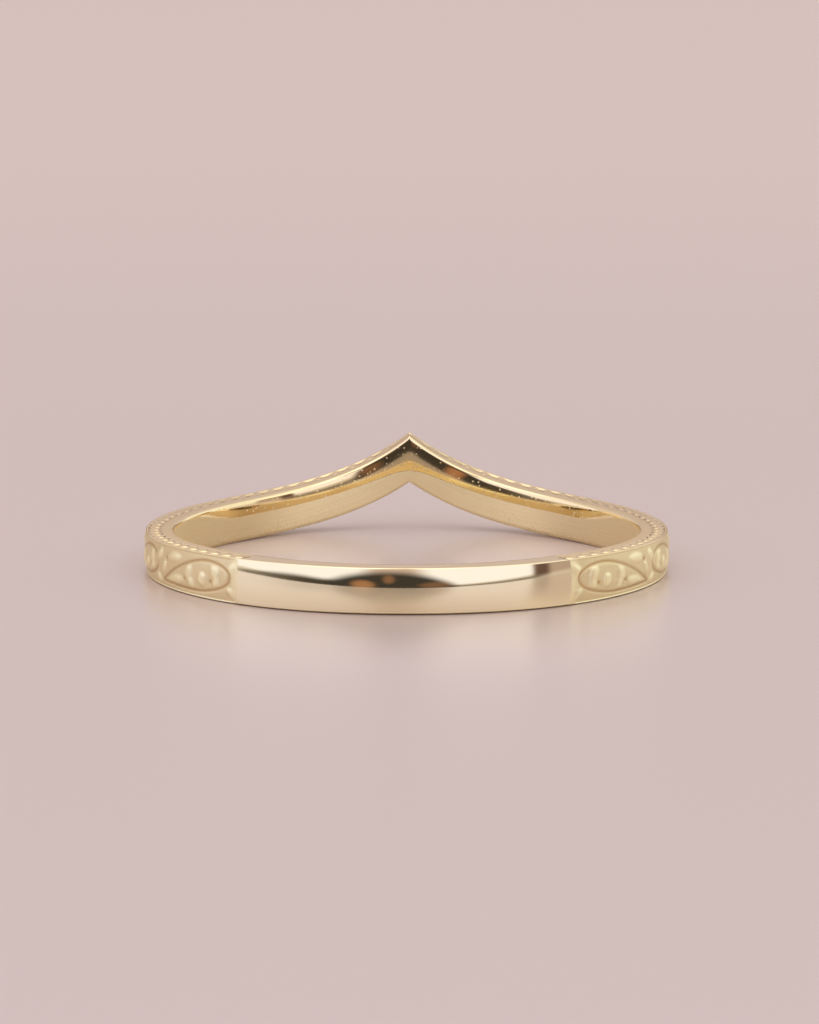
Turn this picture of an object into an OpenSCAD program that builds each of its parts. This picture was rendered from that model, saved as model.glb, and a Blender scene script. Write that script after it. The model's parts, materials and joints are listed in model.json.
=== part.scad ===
// Chevron ring: a one-piece band for a finger, lying on its side with the
// point of the V at +Y and the plain back at -Y. Lengths are millimetres,
// angles are degrees. Z is the finger's axis, and the underside lies on z = 0.

/* [Band] */
// Inner diameter, for the finger
bore_d = 17.3; // [14:0.1:23]
// Thickness from the finger to the outer face
wall = 1.25; // [0.9:0.05:2.4]
// Width of the band, measured square to its own run
band_w = 1.5; // [1.2:0.05:4]
// Width over the plain back, to which the band widens from its sides
back_w = 1.73; // [1.2:0.05:4]

/* [Chevron] */
// Rise of the V at its point
v_rise = 1.85; // [0.4:0.05:4]
// Angle from the point at which the band runs flat again
v_reach = 72; // [45:1:110]
// How steeply the V gathers to its point, where 1 would give straight flanks
v_power = 4; // [1.5:0.1:6]

/* [Inner face] */
// Share of the width, from the underside up, that lies close on the finger
land = 0.42; // [0.3:0.01:0.7]
// How far the upper inner edge is eased away from the finger
comfort = 0.15; // [0.04:0.01:0.3]

/* [Plain back] */
// Angle that the plain, polished back takes up
back_angle = 76.6; // [30:0.2:160]
// How much the back's outer face is domed at its middle
dome_back = 0.2; // [0.05:0.05:0.5]
// How much the outer face is domed along the engraving
dome_front = 0.1; // [0:0.01:0.2]

/* [Engraving] */
// Number of scrolls along each side, from the back to the point
side_scrolls = 5; // [2:1:8]
// Depth of the cut lines
cut_depth = 0.11; // [0.03:0.01:0.2]
// Width of the line round each scroll
line_w = 0.3; // [0.15:0.01:0.5]
// Width of the line round each bead
ring_w = 0.24; // [0.12:0.01:0.3]
// Diameter of the bead in each scroll
bead_d = 0.4; // [0.2:0.02:0.6]

/* [Side border] */
// Number of leaves along each scroll
leaves = 7; // [2:1:9]
// Depth of the cuts between leaves
leaf_cut = 0.05; // [0.02:0.01:0.1]

/* [Hidden] */

bore_r = bore_d / 2;
mean_r = bore_r + wall / 2;
front_half = 180 - back_angle / 2;
scroll_angle = front_half / side_scrolls;
scroll_len = scroll_angle * PI / 180 * (bore_r + wall);
leaf_angle = scroll_angle / leaves;

// Metal left inside the hole for the drill to take, and the drill's overrun
bore_stock = 0.12;
overrun = 1;

// Steps between sections, from the point to one end of the engraving, and
// over the plain back
front_steps = 105;
back_steps = 16;

// What is left of the V's reach at the angle a from its point, as a share
function reach_left(a) = max(0, 1 - abs(a) / v_reach);

// Height of the underside at the angle a
function lift(a) = v_rise * pow(reach_left(a), v_power);

// Slope of the band's run, as rise over run at the middle of the wall
function slope(a) =
    v_rise * v_power / (v_reach * PI / 180 * mean_r) * pow(reach_left(a), v_power - 1);

// Smooth step from 0 to 1
function ease(x) = let (t = min(1, max(0, x))) t * t * (3 - 2 * t);

// Width at the angle a: it grows along the half of the engraving next to the back
function width(a) = band_w + (back_w - band_w) * ease(2 * abs(a) / front_half - 1);

// Upright height of the band, which makes up for its slope
function height(a) = width(a) * sqrt(1 + pow(slope(a), 2));

// The last section of the engraving is already plain, which ends it crisply
function engraved(a) = abs(a) < front_half - 0.01;

// The dome grows from the ends of the engraving to the middle of the back
function dome(a) =
    dome_front + (dome_back - dome_front) * ease((abs(a) - front_half) / (back_angle / 2));

// Place along a scroll, from 0 at its end next to the back to 1 at its other
// end. The pattern mirrors at the point of the V.
function along(a) = let (n = (front_half - abs(a)) / scroll_angle) n - floor(n);

// How far a place along the scrolls is from the nearest place p of any of them
function off_place(u, p) = let (d = abs(u - p)) min(d, 1 - d);

// The line round a scroll is a teardrop. Shares of its length say where it
// starts and is widest. Across, places are halves of the width: the line's
// middle sinks toward its tail, and its two halves never quite meet.
line_from = 0.078;
line_widest = 0.36;
line_middle = 0.08;
line_sink = 0.75;
line_rise = 0.67;
line_least = 0.16;
tail_power = 1.6;
line_fade = 0.05;
function teardrop(u) = (u - line_from) / (1 - line_from);
function middle(u) =
    let (t = teardrop(u), k = t < 0 ? t / teardrop(0) : t) line_middle - line_sink * k * k;
function rise(u) =
    let (k = teardrop(u) - line_widest,
         share = k < 0 ? sqrt(max(0, 1 - pow(k / line_widest, 2)))
                       : 1 - pow(k / (1 - line_widest), tail_power))
    max(line_least, line_rise * share);

// Depth share of the teardrop's line, which fades in at its head and out at its tail
function line_depth(u) =
    let (t = teardrop(u)) min(1, max(0, 1 + t / line_fade), max(0, (1 - t) / line_fade));

// Depth share of a line: 1 at its bottom, falling to 0 at its sides
function on_line(off, half_w) = max(0, 1 - abs(off) / half_w);

// The bead's place along the scroll and across it, and how far along the scroll
// the points in the middle bend toward it
bead_along = 0.38;
bead_across = -0.08;
bead_bend = 0.2;
ring_r = bead_d / 2 + ring_w / 4;
function heart(u) =
    middle(u) + (bead_across - middle(u)) * on_line(u - bead_along, bead_bend);

// Places across the outer face, in halves of the width, on one side of the
// heart: edge, corner cut, line's far side, line, line's near side, bead's ring.
// way is 1 for the upper side and -1 for the lower one, w is the band's width.
half_line = line_w / band_w;
last_far = 0.94;
ring_reach = 0.75;
function side_places(u, w, way) =
    let (h = rise(u), o = way * middle(u) + h, far = min(last_far, o + half_line),
         near = o - min(half_line, h * 2 / 3), c = way * heart(u),
         ring = c + min(2 * ring_r / w, (near - c) * ring_reach))
    way * [1, (1 + far) / 2, far, o, near, ring];

// The line that rings the bead, at x and y from its middle
function bead_ring(x, y) = on_line(norm([x, y]) - ring_r, ring_w / 2);

// The short cuts that part the petals on each side of the bead, at their places
// along the scroll with their half length, and their half width across
part_at = [0.286, 0.62];
part_half = 0.06;
part_across = 0.35;
function parting(u, s) =
    max([for (p = part_at) on_line(u - p, part_half)]) * on_line(s - middle(u), part_across);

// Cut inside a teardrop
function inner_cut(u, s, w) = max(
    bead_ring((u - bead_along) * scroll_len, (s - bead_across) * w / 2), parting(u, s));

// The cut in the upper corner between two scrolls
corner_at = 0.92;
corner_len = 0.24;
corner_depth = 0.8;
function corner_cut(u) = corner_depth * on_line(off_place(u, corner_at), corner_len);

// Depth of the cut at each of the places on one side of the heart
function side_cuts(u, w, way) =
    let (s = side_places(u, w, way))
    cut_depth * [0, way > 0 ? corner_cut(u) : 0, 0, line_depth(u), 0, inner_cut(u, s[5], w)];

// Places across the whole outer face from its upper edge down, each as
// [place in halves of the width, depth of the cut there]
function face_places(u, w) =
    let (up = side_places(u, w, 1), down = side_places(u, w, -1), c = heart(u),
         up_cut = side_cuts(u, w, 1), down_cut = side_cuts(u, w, -1), n = len(up) - 1)
    concat(
        [for (i = [0 : n]) [up[i], up_cut[i]]],
        [[c, cut_depth * inner_cut(u, c, w)]],
        [for (i = [n : -1 : 0]) [down[i], down_cut[i]]]);

// Points of the outer face from the top edge to the bottom edge. A point is
// [distance from the finger, height above the underside].
function outer_points(a) =
    let (k = engraved(a) ? 1 : 0)
    [for (p = face_places(along(a), width(a)))
        [wall - dome(a) * p[0] * p[0] - k * p[1], height(a) / 2 * (1 + p[0])]];

// Share of a leaf's full height that is cut away at the angle a. A leaf rises
// fast to its head and tapers to its tail.
leaf_head = 1 / 3;
function leaf_gap(a) =
    let (n = abs(a) / leaf_angle, t = n - floor(n))
    1 - (t < leaf_head ? t / leaf_head : (1 - t) / (1 - leaf_head));

// The top side face: leaves between a plain inner part and a raised rim, with
// their places as shares of the way out
border = [0.42, 0.66, 0.9];
function top_points(a) =
    let (inner = comfort, outer = wall - dome(a), cut = engraved(a) ? leaf_cut * leaf_gap(a) : 0)
    [for (i = [0 : 2])
        [inner + (outer - inner) * border[i], height(a) - (i == 1 ? cut : 0)]];

// The inner face: the land, which the drill makes a true cylinder, and then the
// eased upper part, at places from the land to the top
ease_places = [0.1, 0.4, 0.75, 1];
ease_power = 2;
function inner_points(a) = concat(
    [[-bore_stock, 0], [-bore_stock, height(a) * land]],
    [for (t = ease_places)
        [comfort * pow(t, ease_power), height(a) * (land + (1 - land) * t)]]);

// The underside has one point between its edges
function under_points(a) = [[(wall - dome(a)) / 2, 0]];

function section(a) =
    concat(inner_points(a), top_points(a), outer_points(a), under_points(a));

// Angles of the sections from the point of the V, from -180 to 180
angles = concat(
    [for (i = [-front_steps : front_steps]) i * front_half / front_steps],
    [for (i = [1 : back_steps - 1])
        let (a = front_half + i * back_angle / back_steps) a > 180 ? a - 360 : a]);

function place(a, p) =
    let (r = bore_r + p[0]) [r * sin(a), r * cos(a), lift(a) + p[1]];

module blank() {
    rows = [for (a = angles) [for (p = section(a)) place(a, p)]];
    n = len(rows);
    m = len(rows[0]);
    faces = [for (i = [0 : n - 1], j = [0 : m - 1])
        let (here = i * m, next = (i + 1) % n * m, k = (j + 1) % m)
        for (f = [[here + j, here + k, next + k], [here + j, next + k, next + j]]) f];
    polyhedron(points = [for (r = rows, p = r) p], faces = faces, convexity = 6);
}

module band() {
    color("gold")
    difference() {
        blank();
        translate([0, 0, -overrun])
            cylinder(r = bore_r, h = lift(0) + height(0) + 2 * overrun, $fn = 180);
    }
}

band();
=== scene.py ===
import json
import math

import bpy
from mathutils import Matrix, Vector


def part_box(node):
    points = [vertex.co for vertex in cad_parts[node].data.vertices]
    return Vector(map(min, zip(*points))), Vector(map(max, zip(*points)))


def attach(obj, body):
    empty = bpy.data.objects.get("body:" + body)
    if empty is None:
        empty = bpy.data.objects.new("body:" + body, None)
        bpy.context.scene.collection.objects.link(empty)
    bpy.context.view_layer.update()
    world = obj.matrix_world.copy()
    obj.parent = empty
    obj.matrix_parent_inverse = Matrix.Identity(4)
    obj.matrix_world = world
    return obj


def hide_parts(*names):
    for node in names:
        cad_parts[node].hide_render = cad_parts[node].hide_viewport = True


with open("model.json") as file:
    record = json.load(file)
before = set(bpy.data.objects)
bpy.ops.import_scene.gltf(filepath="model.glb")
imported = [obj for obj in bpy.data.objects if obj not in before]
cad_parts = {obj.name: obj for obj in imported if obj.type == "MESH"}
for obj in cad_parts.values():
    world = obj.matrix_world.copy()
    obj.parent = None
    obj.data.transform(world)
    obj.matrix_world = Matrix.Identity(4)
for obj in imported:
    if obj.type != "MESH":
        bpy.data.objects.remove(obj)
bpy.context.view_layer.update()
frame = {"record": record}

# A chevron ring of yellow gold, dressed over the node "band". Lengths are metres
# in the frame of the part: the finger goes along Z, the point of the V is at +Y,
# the plain back at -Y and the underside at z = 0.
MM = 0.001

# Sizes that come from the part
LOW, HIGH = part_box("band")
OUTER_R = (HIGH.y - LOW.y) / 2
BORE = next(m for m in frame["record"]["mounts"] if m["name"] == "finger_bore")
BORE_R = BORE["dims"]["r_mm"] * MM
WALL = OUTER_R - BORE_R

# Sizes of the band, as the part has them
RISE = 1.85 * MM
WIDTH = 1.5 * MM
BACK_WIDTH = 1.73 * MM
REACH = math.radians(72)
POWER = 4
BACK_ANGLE = math.radians(76.6)
FRONT_HALF = math.pi - BACK_ANGLE / 2
SCROLLS = 10
LEAVES = 7
SCROLL_ANGLE = 2 * FRONT_HALF / SCROLLS
SCROLL_LEN = SCROLL_ANGLE * OUTER_R


class Wire:
    """A socket in a node tree. A sum written on it adds the nodes that work it out."""

    def __init__(self, sheet, socket):
        self.sheet, self.socket = sheet, socket

    def maths(self, operation, *others):
        values = dict(enumerate((self, *others)))
        return self.sheet.add("ShaderNodeMath", {"operation": operation}, values)

    def __add__(self, other):
        return self.maths("ADD", other)

    def __sub__(self, other):
        return self.maths("SUBTRACT", other)

    def __mul__(self, other):
        return self.maths("MULTIPLY", other)

    def __truediv__(self, other):
        return self.maths("DIVIDE", other)

    def __rsub__(self, other):
        return self.sheet.add("ShaderNodeMath", {"operation": "SUBTRACT"}, {0: other, 1: self})

    def __rtruediv__(self, other):
        return self.sheet.add("ShaderNodeMath", {"operation": "DIVIDE"}, {0: other, 1: self})

    def __pow__(self, other):
        return self.maths("POWER", other)

    def __neg__(self):
        return self.maths("MULTIPLY", -1.0)

    def __abs__(self):
        return self.maths("ABSOLUTE")

    __radd__ = __add__
    __rmul__ = __mul__


class Sheet:
    """A node tree that is being drawn, with one way to add any node."""

    def __init__(self, tree):
        self.tree = tree

    def add(self, kind, settings=None, values=None, out=0):
        node = self.tree.nodes.new(kind)
        for name, value in (settings or {}).items():
            setattr(node, name, value)
        for name, value in (values or {}).items():
            if isinstance(value, Wire):
                self.tree.links.new(value.socket, node.inputs[name])
            else:
                node.inputs[name].default_value = value
        return Wire(self, node.outputs[out])


def least(a, b):
    return a.maths("MINIMUM", b)


def most(a, b):
    return a.maths("MAXIMUM", b)


def kept(a):
    """The value held between 0 and 1."""
    return a.sheet.add("ShaderNodeClamp", values={"Value": a})


def ramp(a, start, end):
    """A straight step from 0 to 1 as the value goes from start to end, up or down."""
    return a.sheet.add("ShaderNodeMapRange", values={"Value": a, "From Min": start, "From Max": end})


def eased(a, start=0.0, end=1.0):
    """A smooth step from 0 to 1 as the value goes from start to end, up or down."""
    return a.sheet.add("ShaderNodeMapRange", {"interpolation_type": "SMOOTHSTEP"},
                       {"Value": a, "From Min": start, "From Max": end})


def between(a, low, high, blur):
    """1 between low and high, falling to 0 past them over the width blur."""
    half = blur / 2
    return eased(a, low - half, low + half) * eased(a, high + half, high - half)


def blend(share, a, b):
    """A colour that goes from a to b with the share. a and b are colours or wires."""
    ends = {k: v if isinstance(v, Wire) else (*v, 1.0) for k, v in (("A", a), ("B", b))}
    return share.sheet.add("ShaderNodeMix", {"data_type": "RGBA"},
                           {"Factor": share, **ends}, out=2)


def hollow(offset, half):
    """1 on the middle of a cut line, falling smoothly to 0 at its sides."""
    t = offset / half
    left = most(1.0 - t * t, 0.0)
    return left * left


def leaf(x, y, at, size, turn, edge, tip):
    """1 on a leaf, sloping to 0 at its outline. Sizes are its length and width.

    A tip of 1 gives pointed ends and one of 2 gives round ones."""
    c, s = math.cos(math.radians(turn)), math.sin(math.radians(turn))
    dx, dy = x - at[0], y - at[1]
    u = (dx * c + dy * s) / (size[0] / 2)
    v = abs(dy * c - dx * s) / (size[1] / 2)
    return eased(1.0 - u * u - v ** tip, 0.0, edge)


def dot(x, y, at, radius, edge):
    """1 on a round dot, sloping to 0 at its outline."""
    dx, dy = x - at[0], y - at[1]
    far = (dx * dx + dy * dy).maths("SQRT")
    return eased(far, radius + edge / 2, radius - edge / 2)


# Steps along the engraving and over the plain back
FRONT_STEPS = 1060
BACK_STEPS = 120
# Points of a section on the underside's halves, inner face, top face and outer face
SECTION = {"under_in": 4, "inner": 16, "top": 20, "outer": 40, "under_out": 4}
# How strongly the points gather at the inner face's top edge, and at both edges of
# the top face and the outer face
INNER_GATHER = 1.7
TOP_GATHER = 0.3
OUTER_GATHER = 0.35
# Points of the sweep that meet are this close at most, and a share is 0 or 1 to this
SEAM = 0.0001 * MM
SLIGHT = 0.0001

# Radii of the four long edges: inner lower, inner upper (along the face and
# across it), outer upper and outer lower
INNER_LOW_EDGE = 0.04 * MM
INNER_TOP_EDGE = (0.11 * MM, 0.13 * MM)
OUTER_TOP_EDGE = 0.022 * MM
OUTER_LOW_EDGE = 0.09 * MM

# The inner face leans out as it rises, so that it slips on easily: by parts of its
# whole height, each growing with its own power of the place up it. At the point of
# the V the lean passes in a small arch.
CROWN = (0.054, 0.011)
CROWN_POWERS = (2, 9)
CROWN_ARCH = math.radians(0.5)

# The lower part of the inner face is brushed up to a height above the underside, in
# millimetres. It passes the point of the V in a rounded arch and rises at the sides.
BRUSHED_TO = 0.93
BRUSHED_BLUR = 0.07
BRUSHED_ARCH = math.radians(5.3)
BRUSHED_RISE = 0.45
BRUSHED_RISE_FROM = math.radians(48)
BRUSHED_RISE_TO = math.radians(70)

# How much the outer face is domed at the back's middle and along the engraving
DOME_BACK = 0.2 * MM
DOME_FRONT = 0.1 * MM

# The line round each scroll is a teardrop. Along it, it starts at a place from the
# end of the scroll's stretch and is widest at a share of its length. Across, its
# middle and its half height are halves of the width, and its tail sinks.
LINE_FROM = 0.44 * MM
LINE_WIDEST = 0.36
LINE_MIDDLE = 0.08
LINE_SINK = 0.75
LINE_HALF_HEIGHT = 0.67
LINE_TAIL = 1.6
LINE_HALF = 0.16 * MM
LINE_DEPTH = 0.1 * MM
# The ground between the leaves, and the uncut rim along the face's edges
GROUND_DEPTH = 0.06 * MM
RIM = 0.05 * MM
RIM_SLOPE = 0.04 * MM
# Stretch at the end of the engraving over which it gets shallower
RUN_OUT = 0.5 * MM

# Beads, leaves and pits of a scroll, in millimetres from the back end of its
# stretch and from the middle of the width
BEAD = {"at": (1.94, -0.12), "radius": 0.23, "slope": 0.14, "ring": 0.33, "ring_slope": 0.1}
LEAF_EDGE = 1.0
LEAF_TIP = 1.7
LEAF_COLUMNS = ("along", "across", "length", "width", "turn")
SCROLL_LEAVES = (
    (1.20, 0.18, 0.84, 0.60, 52),
    (1.12, -0.20, 0.74, 0.56, -62),
    (2.80, 0.02, 0.78, 0.62, -66),
    (2.66, -0.34, 0.66, 0.50, 50),
    (3.80, -0.40, 1.50, 0.50, -10),
    (3.90, 0.45, 1.30, 0.46, -3),
    (0.30, 0.40, 0.76, 0.54, -30),
    (0.36, -0.48, 0.66, 0.42, 30),
    (4.66, 0.00, 0.70, 0.34, -62),
)
PIT_SLOPE = 0.12
SCROLL_PITS = (
    (1.47, -0.17, 0.10),
    (3.09, -0.25, 0.10),
    (4.53, 0.32, 0.12),
)

# The side border, measured in from the outer edge: its rim, its channel with the
# slopes of its two sides, and the slanting leaves in it with the radius of their run
BORDER_RIM = 0.11 * MM
BORDER_WIDTH = 0.52 * MM
BORDER_DEPTH = 0.065 * MM
BORDER_SLOPES = (0.05 * MM, 0.06 * MM)
LEAF_RUN_R = OUTER_R - 0.4 * MM
BORDER_LEAF = {"size": (0.74 * MM, 0.42 * MM), "turn": 32, "edge": 0.8, "tip": 1.7}


def lift(angle):
    """Height of the underside at an angle from the point of the V."""
    return RISE * (most(1.0 - angle / REACH, 0.0)) ** POWER


def width(angle):
    """Width of the band, which grows along the half of the engraving next to the back."""
    return WIDTH + (BACK_WIDTH - WIDTH) * eased(angle, FRONT_HALF / 2, FRONT_HALF)


def upright(angle):
    """Upright height of the band, which keeps its width on the slope."""
    run = RISE * POWER / (REACH * (BORE_R + WALL / 2))
    slope = run * (most(1.0 - angle / REACH, 0.0)) ** (POWER - 1)
    return width(angle) * (slope * slope + 1.0).maths("SQRT")


def dome(angle):
    """Height of the outer face's dome, which grows to the middle of the plain back."""
    return DOME_FRONT + (DOME_BACK - DOME_FRONT) * eased(angle, FRONT_HALF, math.pi)


def off_teardrop(x, across, half_width):
    """Distance from the line round a scroll, in metres, less than 0 inside it.

    The sums with 0.001 and with 1.0 only keep two lengths from being nothing."""
    length = SCROLL_LEN - LINE_FROM
    t = (x - LINE_FROM) / length
    middle = LINE_MIDDLE - LINE_SINK * most(t, 0.0) ** 2
    v = (across - middle) / LINE_HALF_HEIGHT
    high = half_width * LINE_HALF_HEIGHT
    u_head = (LINE_WIDEST - t) / LINE_WIDEST
    far = (u_head * u_head + v * v).maths("SQRT") + 0.001
    steep_u = u_head / (LINE_WIDEST * length)
    steep_v = v / high
    head = (far - 1.0) * far / ((steep_u * steep_u + steep_v * steep_v).maths("SQRT") + 1.0)
    u_tail = most((t - LINE_WIDEST) / (1.0 - LINE_WIDEST), 0.0)
    tail = (abs(v) - 1.0 + u_tail ** LINE_TAIL) * high
    on_tail = u_head.maths("LESS_THAN", 0.0)
    return head + (tail - head) * on_tail


def engraving(angle, across):
    """Depth of the outer face's cuts. across goes from -1 to 1 over the width."""
    n = (FRONT_HALF - angle) / SCROLL_ANGLE
    x = n.maths("FRACT") * SCROLL_LEN
    half_width = width(angle) / 2
    y = across * half_width
    line = hollow(off_teardrop(x, across, half_width), LINE_HALF)
    bead_at = [v * MM for v in BEAD["at"]]
    cover = eased(abs(y) - half_width, -RIM - RIM_SLOPE / 2, -RIM + RIM_SLOPE / 2)
    for row in SCROLL_LEAVES:
        part = dict(zip(LEAF_COLUMNS, row))
        at = (part["along"] * MM, part["across"] * MM)
        size = (part["length"] * MM, part["width"] * MM)
        cover = most(cover, leaf(x, y, at, size, part["turn"], LEAF_EDGE, LEAF_TIP))
    cover = cover * (1.0 - dot(x, y, bead_at, BEAD["ring"] * MM, BEAD["ring_slope"] * MM))
    cover = most(cover, dot(x, y, bead_at, BEAD["radius"] * MM, BEAD["slope"] * MM))
    cuts = most(GROUND_DEPTH * (1.0 - cover), LINE_DEPTH * line)
    for along, over, radius in SCROLL_PITS:
        at = (along * MM, over * MM)
        cuts = most(cuts, LINE_DEPTH * dot(x, y, at, radius * MM, PIT_SLOPE * MM))
    return cuts * eased(angle, FRONT_HALF, FRONT_HALF - RUN_OUT / OUTER_R)


def border(angle, inset):
    """Depth of the side border's cuts. inset is the distance in from the outer edge."""
    pitch = SCROLL_ANGLE / LEAVES
    middle, inner_side = BORDER_RIM + BORDER_WIDTH / 2, BORDER_RIM + BORDER_WIDTH
    t = ((angle / pitch).maths("FRACT") - 0.5) * (pitch * LEAF_RUN_R)
    blade = leaf(t, inset, (0, middle), **BORDER_LEAF)
    outer_slope, inner_slope = BORDER_SLOPES
    channel = eased(inset, BORDER_RIM, BORDER_RIM + outer_slope)
    channel = channel * eased(inset, inner_side, inner_side - inner_slope)
    end = eased(angle, FRONT_HALF, FRONT_HALF - outer_slope / OUTER_R)
    return BORDER_DEPTH * channel * (1.0 - blade) * end


def rounded(before, after, before_r, after_r):
    """How far a point near an edge moves off each of the two faces that meet there.

    before and after are its distances to the edge along the faces."""
    turned = kept(1.0 - before / before_r) + 1.0 - kept(1.0 - after / after_r)
    angle = turned * (math.pi / 4)
    along = before_r * (1.0 - angle.maths("SINE")) + most(before - before_r, 0.0) - before
    off = after_r * (1.0 - angle.maths("COSINE")) + most(after - after_r, 0.0) - after
    return along, off


def gathered(share, strength):
    """The share with its steps closer together at both ends."""
    return share - (share * (2 * math.pi)).maths("SINE") * (strength / (2 * math.pi))


def inside(share):
    """1 where the share is neither 0 nor 1."""
    return (share * (1.0 - share)).maths("GREATER_THAN", SLIGHT)


def build_band_tree(material):
    """The rule that the band's shape follows: one section, swept round the finger."""
    tree = bpy.data.node_groups.new("ring_band", "GeometryNodeTree")
    sheet = Sheet(tree)
    tree.interface.new_socket("Geometry", in_out="OUTPUT", socket_type="NodeSocketGeometry")
    for name, kind in (("Steps round", "NodeSocketInt"), ("Section points", "NodeSocketInt")):
        tree.interface.new_socket(name, in_out="INPUT", socket_type=kind)
    for name in ("Finger radius", "Wall", "Engraved share"):
        tree.interface.new_socket(name, in_out="INPUT", socket_type="NodeSocketFloat")
    given = tree.nodes.new("NodeGroupInput")
    steps, points, bore_r, wall, front_share = (Wire(sheet, s) for s in given.outputs[:5])

    grid = sheet.add("GeometryNodeMeshGrid", values={
        "Size X": 1.0, "Size Y": 1.0, "Vertices X": steps + 1, "Vertices Y": points + 1})
    place = sheet.add("GeometryNodeInputPosition")
    parts = sheet.add("ShaderNodeSeparateXYZ", values={"Vector": place})
    along = parts + 0.5
    round_share = Wire(sheet, parts.socket.node.outputs["Y"]) + 0.5

    front = least(along / front_share, 1.0)
    back = most((along - front_share) / (1.0 - front_share), 0.0)
    turn = (front * 2.0 - 1.0) * FRONT_HALF + back * BACK_ANGLE
    angle = least(abs(turn), 2 * math.pi - turn)

    high = upright(angle)
    side = wall - dome(angle)
    total = sum(SECTION.values())
    shares, start = {}, 0
    for name, count in SECTION.items():
        shares[name] = kept((round_share * total - start) / count)
        start += count
    inner = 1.0 - (1.0 - shares["inner"]) ** INNER_GATHER
    top = gathered(shares["top"], TOP_GATHER)
    outer = gathered(shares["outer"], OUTER_GATHER)

    # The square section: x is the distance from the finger, y the height
    x = side * (0.5 - 0.5 * shares["under_in"] + top - 0.5 * shares["under_out"])
    y = high * (inner - outer)
    corners = (
        (side * 0.5 * (1.0 - shares["under_in"]), high * inner, INNER_LOW_EDGE, INNER_LOW_EDGE),
        (high * (1.0 - inner), side * top, *INNER_TOP_EDGE),
        (side * (1.0 - top), high * outer, OUTER_TOP_EDGE, OUTER_TOP_EDGE),
        (high * (1.0 - outer), side * 0.5 * shares["under_out"], OUTER_LOW_EDGE, OUTER_LOW_EDGE),
    )
    moves = [rounded(*corner) for corner in corners]
    x = x + moves[0][0] + moves[1][1] - moves[2][0] - moves[3][1]
    y = y + moves[0][1] - moves[1][0] - moves[2][1] + moves[3][0]

    arched = lift(angle) - lift((angle * angle + CROWN_ARCH ** 2).maths("SQRT"))
    place_up = most(y + arched, 0.0) / high
    crown = (CROWN[0] * place_up ** CROWN_POWERS[0] + CROWN[1] * place_up ** CROWN_POWERS[1]) * high
    across = 1.0 - 2.0 * outer
    on_outer, on_top = inside(shares["outer"]), inside(shares["top"])
    on_inner = 1.0 - shares["top"].maths("GREATER_THAN", SLIGHT)
    cut = engraving(angle, across) * on_outer
    leaf_cut = border(angle, side - x) * on_top
    bulge = dome(angle) * (1.0 - across * across) * on_outer
    x = x + crown * (1.0 - x / side) + bulge - cut
    y = y - leaf_cut
    radius = bore_r + x
    spot = sheet.add("ShaderNodeCombineXYZ", values={
        "X": radius * turn.maths("SINE"), "Y": radius * turn.maths("COSINE"), "Z": lift(angle) + y})

    mesh = grid
    notes = {
        "cut": cut / LINE_DEPTH,
        "leaf_cut": leaf_cut / BORDER_DEPTH,
        "inner": on_inner * (1.0 - shares["under_in"].maths("LESS_THAN", 1.0 - SLIGHT)),
        "top_face": on_top,
        "outer_face": on_outer,
        "engraved": (FRONT_HALF - angle).maths("GREATER_THAN", 0.0),
        "up": y,
        "reach": (y + lift(angle) - lift((angle * angle + BRUSHED_ARCH ** 2).maths("SQRT"))) / MM
        - BRUSHED_RISE * eased(angle, BRUSHED_RISE_FROM, BRUSHED_RISE_TO),
    }
    for name, value in notes.items():
        mesh = sheet.add("GeometryNodeStoreNamedAttribute", {"data_type": "FLOAT", "domain": "POINT"},
                         {"Geometry": mesh, "Name": name, "Value": value})
    mesh = sheet.add("GeometryNodeSetPosition", values={"Geometry": mesh, "Position": spot})
    mesh = sheet.add("GeometryNodeMergeByDistance", values={"Geometry": mesh, "Distance": SEAM})
    mesh = sheet.add("GeometryNodeSetShadeSmooth", values={"Geometry": mesh, "Shade Smooth": True})
    mesh = sheet.add("GeometryNodeRealizeInstances", values={"Geometry": mesh})
    mesh = sheet.add("GeometryNodeSetMaterial", values={"Geometry": mesh, "Material": material})
    tree.links.new(mesh.socket, tree.nodes.new("NodeGroupOutput").inputs["Geometry"])
    return tree


def made_mesh(name, tree, sizes):
    """Runs a geometry tree with the given sizes and keeps its result as a plain mesh."""
    maker = bpy.data.objects.new(name + "_maker", bpy.data.meshes.new(name + "_maker"))
    bpy.context.scene.collection.objects.link(maker)
    modifier = maker.modifiers.new(name, "NODES")
    modifier.node_group = tree
    inputs = {s.name: s.identifier for s in tree.interface.items_tree if s.in_out == "INPUT"}
    for title, value in sizes.items():
        modifier[inputs[title]] = value
    graph = bpy.context.evaluated_depsgraph_get()
    mesh = bpy.data.meshes.new_from_object(maker.evaluated_get(graph))
    bpy.data.objects.remove(maker)
    piece = bpy.data.objects.new(name, mesh)
    bpy.context.scene.collection.objects.link(piece)
    return piece


def placed(sheet):
    """The place on the object, and how far east and north it is."""
    where = sheet.add("ShaderNodeTexCoord")
    where = Wire(sheet, where.socket.node.outputs["Object"])
    split = sheet.add("ShaderNodeSeparateXYZ", values={"Vector": where})
    return where, split, Wire(sheet, split.socket.node.outputs["Y"])


def finish(sheet, values):
    """Ends a material's tree with the shader that has these values."""
    shader = sheet.add("ShaderNodeBsdfPrincipled", values=values)
    out = sheet.tree.nodes.new("ShaderNodeOutputMaterial")
    sheet.tree.links.new(shader.socket, out.inputs["Surface"])


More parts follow.
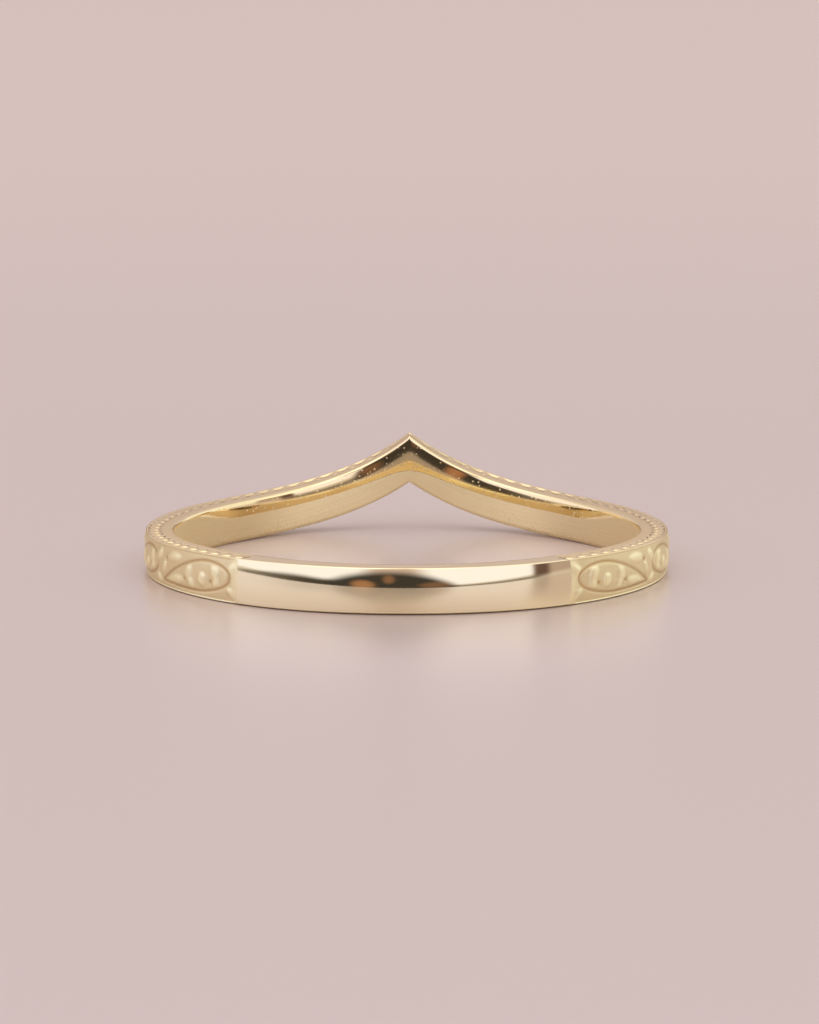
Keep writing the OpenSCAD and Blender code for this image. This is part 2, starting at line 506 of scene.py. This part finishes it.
# Colours of the gold: on its outer polished faces, and on its inner ones, painted a deeper orange
# as painted reflection of the ring in itself; in and between its cuts, darkened as painted shade;
# where the brush has streaked it, partly painted light; at the brushed face's sides, darkened as
# painted shade; where a cast grain has changed it; and on the top face, painted shade to the point
GOLD_INSIDE_REFLECTION_TINT = (0.97, 0.80, 0.46)
GOLD_OUTSIDE = (0.97, 0.88, 0.58)
GOLD_ENGRAVED = (0.98, 0.88, 0.53)
GOLD_SHADED_IN_CUTS = (0.62, 0.44, 0.21)
GOLD_SHADED_BY_LEAVES = (0.6, 0.43, 0.22)
GOLD_SHADED_TOP = (0.66, 0.5, 0.3)
GOLD_STREAKS_AND_SHEEN = (0.99, 0.89, 0.57)
GOLD_SHADED_BRUSHED_SIDES = (0.62, 0.46, 0.26)
GOLD_SANDY = (0.62, 0.45, 0.2)

# How much painted shade darkens the cuts beside the border's leaves, and how much painted
# shade darkens the engraved top face, from the plain back to the point
LEAF_SHADE = 0.35
TOP_SHADE_LEAST, TOP_SHADE_MORE = 0.15, 0.4
TOP_SHADE_FROM, TOP_SHADE_TO = -2.4 * MM, 3.6 * MM

# Painted shade darkens the brushed face at the ring's two sides, and it is sandy there near its lower edge
SIDE_SHADE_FROM, SIDE_SHADE_TO, SIDE_SHADE_SHARE = 4.0 * MM, 6.5 * MM, 0.55
SANDY_FROM, SANDY_TO, SANDY_SHARE = 2.1 * MM, 5.1 * MM, 0.6
SANDY_LOW, SANDY_HIGH = 0.065 * MM, 0.715 * MM
SANDY_GRAIN = (0.5, 0.3)

# Roughness of the polish, and what each finish adds to it. The border's satin is
# mostly lost in its cuts, from a quarter of their depth down.
POLISH = 0.07
ROUGHER = {"brushed": 0.52, "satin": 0.5, "cut": 0.1, "speck": 0.4}
SATIN_OUTER = 0.55
SATIN_TOP = 0.5
SATIN_LOST_IN_CUTS = 0.4
SATIN_LOST_FROM = 0.25

# Marks in the metal, in marks a metre: the brush's streaks round and up the band,
# the grain and the polish's pinholes
STREAKS_ROUND = 300.0
STREAKS_UP = 16000.0
STREAK_LEVELS = (0.1875, 0.8125)
STREAK_DETAIL = 3.0
GRAIN = 14000.0
GRAIN_DETAIL = 2.0
NOISE_ROUGHNESS = 0.6
PINHOLES = 5500.0
PINHOLE_EDGE, PINHOLE_MIDDLE = 0.26, 0.14
BUMP = {"Strength": 0.25, "Distance": 0.01 * MM}
BUMP_STREAKS = 4.0
BUMP_GRAIN = {"satin": 2.0, "brushed": 3.0, "sandy": 8.0}


def gold_material():
    """Yellow gold, polished, brushed low inside and satin in the engraving."""
    material = bpy.data.materials.new("yellow_gold")
    material.use_nodes = True
    tree = material.node_tree
    tree.nodes.clear()
    sheet = Sheet(tree)

    def note(name):
        found = sheet.add("ShaderNodeAttribute", {"attribute_name": name})
        return Wire(sheet, found.socket.node.outputs["Fac"])

    def noise(vector, scale, detail):
        return sheet.add("ShaderNodeTexNoise", {"noise_dimensions": "3D"},
                         {"Vector": vector, "Scale": scale, "Detail": detail, "Roughness": NOISE_ROUGHNESS})

    where, east, north = placed(sheet)
    up, inner, cut, leaf_cut = note("up"), note("inner"), note("cut"), note("leaf_cut")
    top_face, outer_face, engraved = note("top_face"), note("outer_face"), note("engraved")

    brushed = sheet.add("ShaderNodeCombineXYZ", values={
        "X": east * STREAKS_ROUND, "Y": north * STREAKS_ROUND, "Z": up * STREAKS_UP})
    streaks = noise(brushed, 1.0, STREAK_DETAIL)
    grain = noise(where, GRAIN, GRAIN_DETAIL)
    half_blur = BRUSHED_BLUR / 2
    lower = inner * eased(note("reach"), BRUSHED_TO + half_blur, BRUSHED_TO - half_blur)
    satin_top = top_face * (SATIN_TOP - SATIN_LOST_IN_CUTS * ramp(leaf_cut, 0.0, SATIN_LOST_FROM))
    satin = engraved * (outer_face * SATIN_OUTER + satin_top)
    pinholes = sheet.add("ShaderNodeTexVoronoi", {"feature": "F1"}, {"Vector": where, "Scale": PINHOLES})
    pinholes = eased(pinholes, PINHOLE_EDGE, PINHOLE_MIDDLE) * inner * (1.0 - lower)
    rough = (POLISH + ROUGHER["brushed"] * lower + ROUGHER["satin"] * satin
             + ROUGHER["cut"] * kept(cut) + ROUGHER["speck"] * pinholes)

    # Painted reflection: the inner faces take a deeper orange copy of the gold than the outer faces,
    # standing in for the ring's warm reflection of itself
    colour = blend(outer_face, GOLD_INSIDE_REFLECTION_TINT, GOLD_OUTSIDE)
    colour = blend(engraved * outer_face, colour, GOLD_ENGRAVED)
    # Painted shade: the cut lines and the ground between the leaves are darkened, the deeper the darker,
    # and so are the border's cuts beside its leaves
    colour = blend(kept(cut * cut), colour, GOLD_SHADED_IN_CUTS)
    colour = blend(kept(leaf_cut) * LEAF_SHADE, colour, GOLD_SHADED_BY_LEAVES)
    # Painted shade: the engraved top face is darkened, more towards the point
    top_shade = TOP_SHADE_LEAST + TOP_SHADE_MORE * eased(north, TOP_SHADE_FROM, TOP_SHADE_TO)
    colour = blend(engraved * top_face * top_shade, colour, GOLD_SHADED_TOP)
    # Partly the brush's streaks and partly painted light: the streaks are painted lighter than the gold to
    # brighten the brushed face
    colour = blend(lower * ramp(streaks, *STREAK_LEVELS), colour, GOLD_STREAKS_AND_SHEEN)
    # Painted shade on the brushed face towards the ring's two sides
    side_shade = eased(abs(east), SIDE_SHADE_FROM, SIDE_SHADE_TO)
    colour = blend(lower * side_shade * SIDE_SHADE_SHARE, colour, GOLD_SHADED_BRUSHED_SIDES)
    sandy = lower * ramp(abs(east), SANDY_FROM, SANDY_TO) * ramp(up, SANDY_HIGH, SANDY_LOW)
    colour = blend(sandy * ramp(grain, *SANDY_GRAIN) * SANDY_SHARE, colour, GOLD_SANDY)

    grainy = BUMP_GRAIN["satin"] * satin + BUMP_GRAIN["brushed"] * lower + BUMP_GRAIN["sandy"] * sandy
    height = (streaks - 0.5) * lower * BUMP_STREAKS + (grain - 0.5) * grainy
    bump = sheet.add("ShaderNodeBump", values={"Height": height, **BUMP})
    finish(sheet, {"Base Color": colour, "Metallic": 1.0, "Roughness": rough, "Normal": bump})
    return material


# The floor's colour round the ring and behind it, painted lighter behind it as painted light,
# the stretch where it changes, and its soft sheen
FLOOR_NEAR = (0.71, 0.605, 0.555)
FLOOR_FAR_PAINTED_LIGHTER = (0.80, 0.675, 0.615)
FLOOR_LIGHTENS_OVER = (0.02, 0.14)
FLOOR_SHEEN = {"Metallic": 0.42, "Roughness": 0.29}
FLOOR_HALF = 2.0


def floor_material():
    """A pale floor with a soft sheen."""
    material = bpy.data.materials.new("pale_floor")
    material.use_nodes = True
    material.node_tree.nodes.clear()
    sheet = Sheet(material.node_tree)
    north = placed(sheet)[2]
    # Painted light: the floor is lighter behind the ring than round it
    colour = blend(eased(north, *FLOOR_LIGHTENS_OVER), FLOOR_NEAR, FLOOR_FAR_PAINTED_LIGHTER)
    finish(sheet, {"Base Color": colour, **FLOOR_SHEEN})
    return material


def build_floor():
    """A flat square under the ring."""
    corners = [(x * FLOOR_HALF, y * FLOOR_HALF, 0) for x, y in ((-1, -1), (1, -1), (1, 1), (-1, 1))]
    mesh = bpy.data.meshes.new("floor")
    mesh.from_pydata(corners, [], [(0, 1, 2, 3)])
    mesh.materials.append(floor_material())
    floor = bpy.data.objects.new("floor", mesh)
    bpy.context.scene.collection.objects.link(floor)


# The room, by direction in degrees: swing is to the right of the camera's side, rise
# is up from the horizon. Its wall changes a little from low to high, with a dark foot
# far behind the ring, and its ceiling is bright.
ROOM_FROM, ROOM_TO = -20, 40
ROOM_LOW = (0.70, 0.60, 0.57)
ROOM_HIGH = (0.76, 0.68, 0.72)
FOOT_RISE, FOOT_SWING = (-10, 9.5, 3), (120, 150)
FOOT_COLOUR = (0.36, 0.24, 0.16)
CEILING_FROM, CEILING_TO = 42, 67
CEILING = (1.6, 1.56, 1.56)

# The soft light over the camera's side, which gets brighter higher up
SOFT_LIGHT = {"swing": (-110, 57.5, 2), "rise": (4.5, 90, 1.5)}
SOFT_LIGHT_FROM, SOFT_LIGHT_TO = 50, 70
SOFT_LIGHT_LOW = (1.05, 1.02, 1.24)
SOFT_LIGHT_HIGH = (1.8, 1.78, 1.8)

# Flat boards round the ring, each from left to right and from bottom to top with
# blurred sides
BOARD_COLUMNS = ("swing", "rise", "share", "colour")
BOARDS = (
    ((82, 150, 8), (4, 90, 4), 1.0, (0.98, 0.98, 1.0)),
    ((52, 92, 6), (27, 90, 4), 1.0, (1.3, 1.26, 1.26)),
    ((57.5, 81, 3), (2, 25, 5), 1.0, (0.48, 0.36, 0.34)),
    ((57, 65, 4), (1.5, 17, 6), 1.0, (0.14, 0.08, 0.07)),
    ((-17, 7, 12), (20, 90, 20), 0.9, (0.58, 0.42, 0.40)),
)

# A dark strip along the horizon, with its top and that top's blur, which is thicker
# and darker on the left of the middle, and a dark rounded shape over it
STRIP = {"swing": (-78, 60, 12), "thin": (2.6, 1.6), "thicker": (6.6, 6.4)}
STRIP_THICK = {"right": (10, -20), "left": (-76, -42)}
STRIP_THIN_SHARE = 0.75
STRIP_COLOUR = (0.07, 0.055, 0.045)
SHAPE = {"middle": 5, "left": 33, "right": 29, "high": 34, "full": 1.16, "blur": 0.44}
SHAPE_COLOUR = (0.05, 0.043, 0.04)

# Warm spots in the dark shape
SPOT_COLUMNS = ("swing", "rise", "wide", "high", "share")
SPOTS = (
    (-18, 5, 5, 9, 0.8),
    (-7, 18, 2.5, 9, 0.45),
    (13, 6, 7, 6, 0.35),
)
SPOT_REACH = 1.8
SPOT_COLOUR = (0.48, 0.23, 0.13)
BACKDROP = (0.63, 0.53, 0.50)


def build_studio():
    """The room round the ring: pale walls, a wide soft light in front and above, dark low down."""
    world = bpy.data.worlds.new("studio")
    world.use_nodes = True
    tree = world.node_tree
    tree.nodes.clear()
    sheet = Sheet(tree)
    way = sheet.add("ShaderNodeTexCoord")
    split = sheet.add("ShaderNodeSeparateXYZ", values={"Vector": way})
    x, y, z = (Wire(sheet, split.socket.node.outputs[k]) for k in "XYZ")
    rise = z.maths("ARCSINE") * (180 / math.pi)
    swing = x.maths("ARCTAN2", -y) * (180 / math.pi)

    colour = blend(ramp(rise, ROOM_FROM, ROOM_TO), ROOM_LOW, ROOM_HIGH)
    foot = between(rise, *FOOT_RISE) * eased(abs(swing), *FOOT_SWING)
    colour = blend(foot, colour, FOOT_COLOUR)
    colour = blend(eased(rise, CEILING_FROM, CEILING_TO), colour, CEILING)
    light = blend(eased(rise, SOFT_LIGHT_FROM, SOFT_LIGHT_TO), SOFT_LIGHT_LOW, SOFT_LIGHT_HIGH)
    share = between(swing, *SOFT_LIGHT["swing"]) * between(rise, *SOFT_LIGHT["rise"])
    colour = blend(share, colour, light)
    for row in BOARDS:
        board = dict(zip(BOARD_COLUMNS, row))
        share = between(swing, *board["swing"]) * between(rise, *board["rise"])
        colour = blend(share * board["share"], colour, board["colour"])

    thick = eased(swing, *STRIP_THICK["right"]) * eased(swing, *STRIP_THICK["left"])
    top, soft = (thin + thick * more for thin, more in zip(STRIP["thin"], STRIP["thicker"]))
    strip = eased((top - rise) / soft + 0.5) * (STRIP_THIN_SHARE + (1 - STRIP_THIN_SHARE) * thick)
    colour = blend(strip * between(swing, *STRIP["swing"]), colour, STRIP_COLOUR)

    off_middle = swing + SHAPE["middle"]
    aside = most(off_middle / -SHAPE["left"], off_middle / SHAPE["right"])
    left_over = SHAPE["full"] - aside * aside - most(rise, 0.0) / SHAPE["high"]
    colour = blend(eased(left_over, 0.0, SHAPE["blur"]), colour, SHAPE_COLOUR)
    for row in SPOTS:
        spot = dict(zip(SPOT_COLUMNS, row))
        off = ((swing - spot["swing"]) / spot["wide"]) ** 2 + ((rise - spot["rise"]) / spot["high"]) ** 2
        colour = blend(eased(off, SPOT_REACH, 0.0) * spot["share"], colour, SPOT_COLOUR)

    path = sheet.add("ShaderNodeLightPath")
    seen = sheet.add("ShaderNodeBackground", values={"Color": (*BACKDROP, 1.0), "Strength": 1.0})
    lit = sheet.add("ShaderNodeBackground", values={"Color": colour, "Strength": 1.0})
    mixed = sheet.add("ShaderNodeMixShader", values={0: path, 1: lit, 2: seen})
    tree.links.new(mixed.socket, tree.nodes.new("ShaderNodeOutputWorld").inputs["Surface"])
    bpy.context.scene.world = world


def build_camera():
    """The camera at the photograph's place: its angles, distance and lens give the same view."""
    azimuth, elevation = math.radians(0.716), math.radians(10.07)
    distance, focal_px = 0.33, 8775
    centre_px, origin_px = Vector((409.5, 512)), Vector((406.7, 568.7))
    frame_long = 1024
    back = Vector((math.sin(azimuth) * math.cos(elevation),
                   -math.cos(azimuth) * math.cos(elevation), math.sin(elevation)))
    turn = (-back).to_track_quat("-Z", "Y")
    offset = (centre_px - origin_px) / focal_px * distance
    target = turn @ Vector((offset.x, -offset.y, 0))
    data = bpy.data.cameras.new("camera")
    data.sensor_width = 36
    data.lens = data.sensor_width * focal_px / frame_long
    data.clip_start, data.clip_end = 0.01, 10
    camera = bpy.data.objects.new("camera", data)
    camera.location = back * distance
    camera.rotation_mode = "QUATERNION"
    camera.rotation_quaternion = (target - camera.location).to_track_quat("-Z", "Y")
    bpy.context.scene.collection.objects.link(camera)
    bpy.context.scene.camera = camera


build_camera()
build_floor()
build_studio()
bpy.context.scene.view_settings.view_transform = "Standard"

gold = gold_material()
band = made_mesh("engraved_band", build_band_tree(gold), {
    "Steps round": FRONT_STEPS + BACK_STEPS,
    "Section points": sum(SECTION.values()),
    "Finger radius": BORE_R,
    "Wall": WALL,
    "Engraved share": FRONT_STEPS / (FRONT_STEPS + BACK_STEPS),
})
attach(band, "root")
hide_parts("band")
